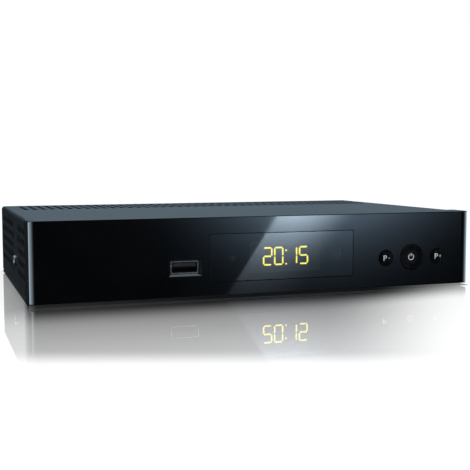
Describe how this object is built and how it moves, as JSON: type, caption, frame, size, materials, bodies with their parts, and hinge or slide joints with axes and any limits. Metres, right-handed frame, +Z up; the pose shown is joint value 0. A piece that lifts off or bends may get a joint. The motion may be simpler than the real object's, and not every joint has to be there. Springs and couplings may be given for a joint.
{
  "type": "satellite television receiver",
  "caption": "Low satellite television receiver: folded steel case with vents, gloss front panel with clock window, USB socket and push buttons, and sockets at the rear.",
  "frame": {"origin": "on the surface it stands on, in the middle of the whole part's outline, buttons and rear barrels included", "axes": "+X to the right seen from the front, +Y to the rear, +Z up"},
  "size_m": [0.2234, 0.1542, 0.0382],
  "materials": {
    "case_paint": "satin powder paint, near black",
    "gloss_black": "piano-gloss moulded plastic",
    "smoked_window": "clear smoked plastic",
    "button_black": "gloss moulded plastic",
    "dark_plastic": "matt moulded plastic",
    "white_plastic": "matt moulded plastic",
    "orange_plastic": "matt moulded plastic",
    "board_laminate": "solder-masked laminate",
    "tinned_steel": "tin-plated sheet",
    "screw_steel": "black zinc-plated steel",
    "nickel": "nickel plate",
    "contact_gold": "gold flash",
    "lit_display": "lit amber-yellow bars",
    "unlit_display": "unlit bars",
    "lamp_resin": "clear red resin",
    "receiver_resin": "dark resin",
    "foot_rubber": "moulded rubber",
    "heatsink_aluminium": "plain extruded",
    "pad_grey": "soft silicone",
    "chip_resin": "moulded epoxy",
    "can_sleeve": "shrunk sleeve",
    "wire_sleeve": "vinyl insulation",
    "ribbon_film": "polyester film"
  },
  "bodies": {
    "receiver_case": {"base_tray": "case_paint", "rear_panel": "case_paint", "top_cover": "case_paint", "cover_screws": "screw_steel", "rubber_feet": "foot_rubber", "front_fascia": "gloss_black", "display_window": "smoked_window", "push_switches": "dark_plastic", "front_board": "board_laminate", "front_board_screws": "screw_steel", "display_block": "dark_plastic", "lit_strokes": "lit_display", "unlit_strokes": "unlit_display", "infrared_receiver": "receiver_resin", "standby_lamp": "lamp_resin", "lamp_spacer": "dark_plastic", "main_board": "board_laminate", "board_standoffs": "nickel", "main_board_screws": "screw_steel", "usb_shell": "tinned_steel", "usb_insulator": "dark_plastic", "usb_contacts": "contact_gold", "tuner_can": "tinned_steel", "tuner_lid": "tinned_steel", "lnb_in_barrel": "nickel", "lnb_out_barrel": "nickel", "barrel_insulators": "white_plastic", "barrel_nuts": "nickel", "barrel_washers": "nickel", "ethernet_shell": "tinned_steel", "ethernet_insulator": "dark_plastic", "ethernet_contacts": "contact_gold", "hdmi_shell": "tinned_steel", "hdmi_insulator": "dark_plastic", "scart_shell": "tinned_steel", "scart_insulator": "dark_plastic", "scart_contacts": "contact_gold", "digital_audio_body": "orange_plastic", "digital_audio_sleeve": "nickel", "dc_jack": "dark_plastic", "dc_pin": "nickel", "switch_case": "dark_plastic", "switch_terminals": "contact_gold", "switch_wires": "wire_sleeve", "board_headers": "white_plastic", "ribbon_cable": "ribbon_film", "card_reader_frame": "dark_plastic", "card_reader_contacts": "contact_gold", "processor": "chip_resin", "thermal_pad": "pad_grey", "heatsink": "heatsink_aluminium", "memory_chips": "chip_resin", "capacitors_and_coils": "can_sleeve"},
    "power_button": {"power_button": "button_black", "power_plunger": "dark_plastic"},
    "channel_down_button": {"channel_down_button": "button_black", "channel_down_plunger": "dark_plastic"},
    "channel_up_button": {"channel_up_button": "button_black", "channel_up_plunger": "dark_plastic"},
    "power_rocker": {"power_rocker": "dark_plastic"}
  },
  "joints": [
    {"name": "power_press", "type": "slide", "parent": "receiver_case", "child": "power_button", "axis": [0, 1, 0], "range_m": [0, 0.0004], "stiffness_N_per_m": 2500},
    {"name": "channel_down_press", "type": "slide", "parent": "receiver_case", "child": "channel_down_button", "axis": [0, 1, 0], "range_m": [0, 0.0004], "stiffness_N_per_m": 2500},
    {"name": "channel_up_press", "type": "slide", "parent": "receiver_case", "child": "channel_up_button", "axis": [0, 1, 0], "range_m": [0, 0.0004], "stiffness_N_per_m": 2500},
    {"name": "rocker_tilt", "type": "hinge", "parent": "receiver_case", "child": "power_rocker", "pos_m": [0.0947, 0.0656, 0.0212], "axis": [1, 0, 0], "range_deg": [-22, 0]}
  ]
}
